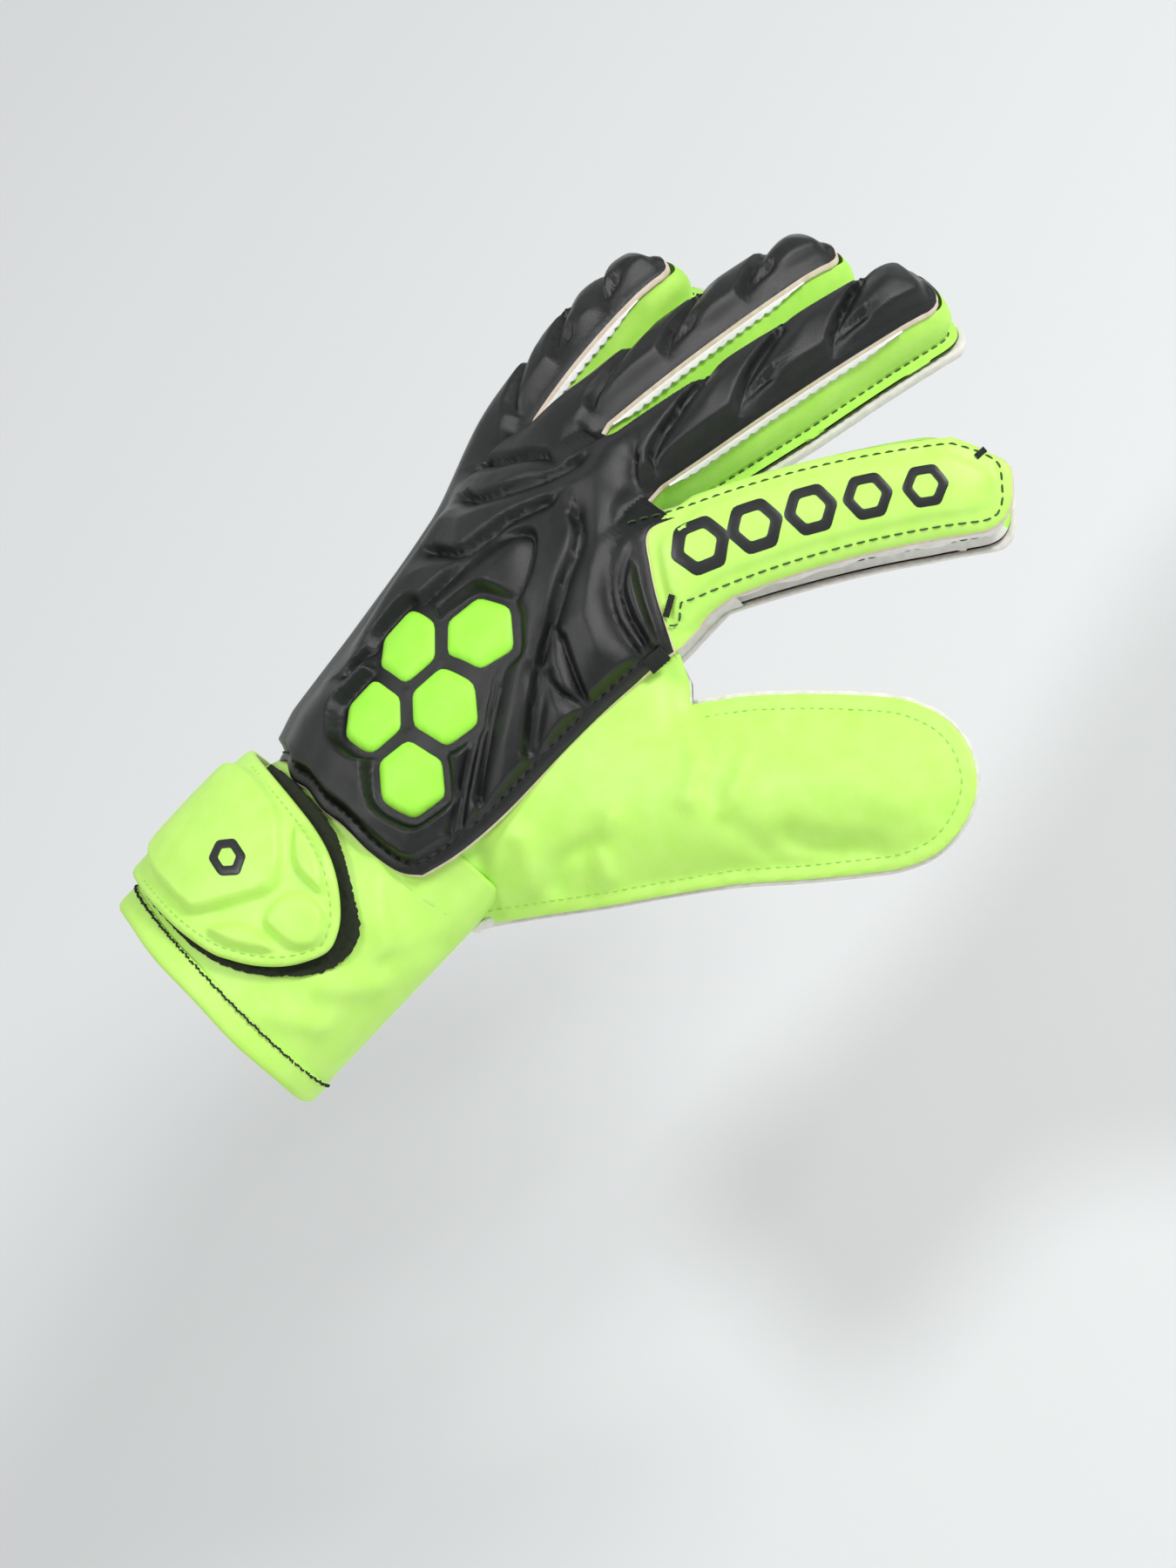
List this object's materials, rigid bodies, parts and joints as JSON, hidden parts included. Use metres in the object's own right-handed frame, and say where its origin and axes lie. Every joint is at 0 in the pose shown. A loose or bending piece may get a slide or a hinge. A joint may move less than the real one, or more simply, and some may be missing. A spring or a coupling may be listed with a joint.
{
  "type": "goalkeeper glove",
  "caption": "Left-hand goalkeeper glove, hollow, with embossed padded back, foam palm, side gussets, hinged fingers and a peel-open wrist strap.",
  "frame": {"origin": "centre of the flat underside of the cuff, which is the plane the glove rests on", "axes": "+Y from the wrist opening to the fingertips, +X towards the thumb, +Z out of the back of the hand"},
  "size_m": [0.2074, 0.2718, 0.0669],
  "materials": {
    "black_backhand": "embossed synthetic leather on foam, satin",
    "lime_panel": "smooth coated sheet, satin",
    "lime_gusset": "stretch jersey",
    "lime_insert": "moulded, matt",
    "cream_latex": "soft latex foam, matt",
    "lime_cuff": "knitted cloth",
    "lime_strap": "raised pads, matt",
    "black_elastic": "ribbed elastic",
    "black_loop": "fuzzy loop pile",
    "black_hook": "hook pile",
    "cream_lining": "jersey lining"
  },
  "bodies": {
    "cuff": {"cuff_back": "lime_cuff", "cuff_elastic": "black_elastic", "hem_binding": "lime_cuff", "cuff_lining": "cream_lining", "loop_patch": "black_loop"},
    "strap_flap": {"strap": "lime_strap", "hook_patch": "black_hook"},
    "hand": {"backhand_panel": "black_backhand", "thenar_panel": "lime_panel", "side_gusset": "lime_gusset", "palm_panel": "cream_latex", "insert_1": "lime_insert", "insert_2": "lime_insert", "insert_3": "lime_insert", "insert_4": "lime_insert", "insert_5": "lime_insert"},
    "little_base": {"little_1_back": "black_backhand", "little_1_palm": "cream_latex", "little_1_gusset_thumbside": "lime_gusset", "little_1_gusset_littleside": "lime_gusset"},
    "little_end": {"little_2_back": "black_backhand", "little_2_palm": "cream_latex", "little_2_gusset": "lime_gusset"},
    "ring_base": {"ring_1_back": "black_backhand", "ring_1_palm": "cream_latex", "ring_1_gusset_thumbside": "lime_gusset", "ring_1_gusset_littleside": "lime_gusset"},
    "ring_end": {"ring_2_back": "black_backhand", "ring_2_palm": "cream_latex", "ring_2_gusset": "lime_gusset"},
    "middle_base": {"middle_1_back": "black_backhand", "middle_1_palm": "cream_latex", "middle_1_gusset_thumbside": "lime_gusset", "middle_1_gusset_littleside": "lime_gusset"},
    "middle_end": {"middle_2_back": "black_backhand", "middle_2_palm": "cream_latex", "middle_2_gusset": "lime_gusset"},
    "index_base": {"index_1_back": "lime_panel", "index_1_palm": "cream_latex", "index_1_gusset_thumbside": "lime_gusset", "index_1_gusset_littleside": "lime_gusset"},
    "index_end": {"index_2_back": "lime_panel", "index_2_palm": "cream_latex", "index_2_gusset": "lime_gusset"},
    "thumb_base": {"thumb_1_back": "lime_panel", "thumb_1_palm": "cream_latex"},
    "thumb_end": {"thumb_2_back": "lime_panel", "thumb_2_palm": "cream_latex"}
  },
  "joints": [
    {"name": "wrist_bend", "type": "hinge", "parent": "cuff", "child": "hand", "pos_m": [0, 0.033, 0.028], "axis": [-1, 0, 0], "range_deg": [-20, 25], "stiffness_Nm_per_rad": 0.3},
    {"name": "strap_peel", "type": "hinge", "parent": "cuff", "child": "strap_flap", "pos_m": [-0.0481, -0.001, 0.0295], "axis": [0, -1, 0], "range_deg": [0, 150], "stiffness_Nm_per_rad": 0.01},
    {"name": "little_knuckle", "type": "hinge", "parent": "hand", "child": "little_base", "pos_m": [-0.047, 0.107, 0.038], "axis": [-0.9816, -0.1898, -0.0225], "range_deg": [-10, 65], "stiffness_Nm_per_rad": 0.04},
    {"name": "little_middle", "type": "hinge", "parent": "little_base", "child": "little_end", "pos_m": [-0.054, 0.1435, 0.0355], "axis": [-0.9816, -0.1898, -0.0225], "range_deg": [-8, 75], "stiffness_Nm_per_rad": 0.04},
    {"name": "ring_knuckle", "type": "hinge", "parent": "hand", "child": "ring_base", "pos_m": [-0.026, 0.116, 0.044], "axis": [-0.997, -0.0774, -0.0039], "range_deg": [-10, 65], "stiffness_Nm_per_rad": 0.04},
    {"name": "ring_middle", "type": "hinge", "parent": "ring_base", "child": "ring_end", "pos_m": [-0.0295, 0.1615, 0.036], "axis": [-0.997, -0.0774, -0.0039], "range_deg": [-8, 75], "stiffness_Nm_per_rad": 0.04},
    {"name": "middle_knuckle", "type": "hinge", "parent": "hand", "child": "middle_base", "pos_m": [-0.002, 0.12, 0.047], "axis": [-0.9999, 0.0098, -0.0022], "range_deg": [-10, 65], "stiffness_Nm_per_rad": 0.04},
    {"name": "middle_middle", "type": "hinge", "parent": "middle_base", "child": "middle_end", "pos_m": [-0.0015, 0.1687, 0.0358], "axis": [-0.9999, 0.0098, -0.0022], "range_deg": [-8, 75], "stiffness_Nm_per_rad": 0.04},
    {"name": "index_knuckle", "type": "hinge", "parent": "hand", "child": "index_base", "pos_m": [0.021, 0.113, 0.041], "axis": [-0.9618, 0.2739, -0.0042], "range_deg": [-10, 65], "stiffness_Nm_per_rad": 0.04},
    {"name": "index_middle", "type": "hinge", "parent": "index_base", "child": "index_end", "pos_m": [0.033, 0.155, 0.032], "axis": [-0.9618, 0.2739, -0.0042], "range_deg": [-8, 75], "stiffness_Nm_per_rad": 0.04},
    {"name": "thumb_root", "type": "hinge", "parent": "hand", "child": "thumb_base", "pos_m": [0.063, 0.09, 0.028], "axis": [-0.5178, 0.704, 0.486], "range_deg": [-12, 22], "stiffness_Nm_per_rad": 0.04},
    {"name": "thumb_middle", "type": "hinge", "parent": "thumb_base", "child": "thumb_end", "pos_m": [0.09, 0.114, 0.022], "axis": [-0.5178, 0.704, 0.486], "range_deg": [-8, 45], "stiffness_Nm_per_rad": 0.04}
  ]
}
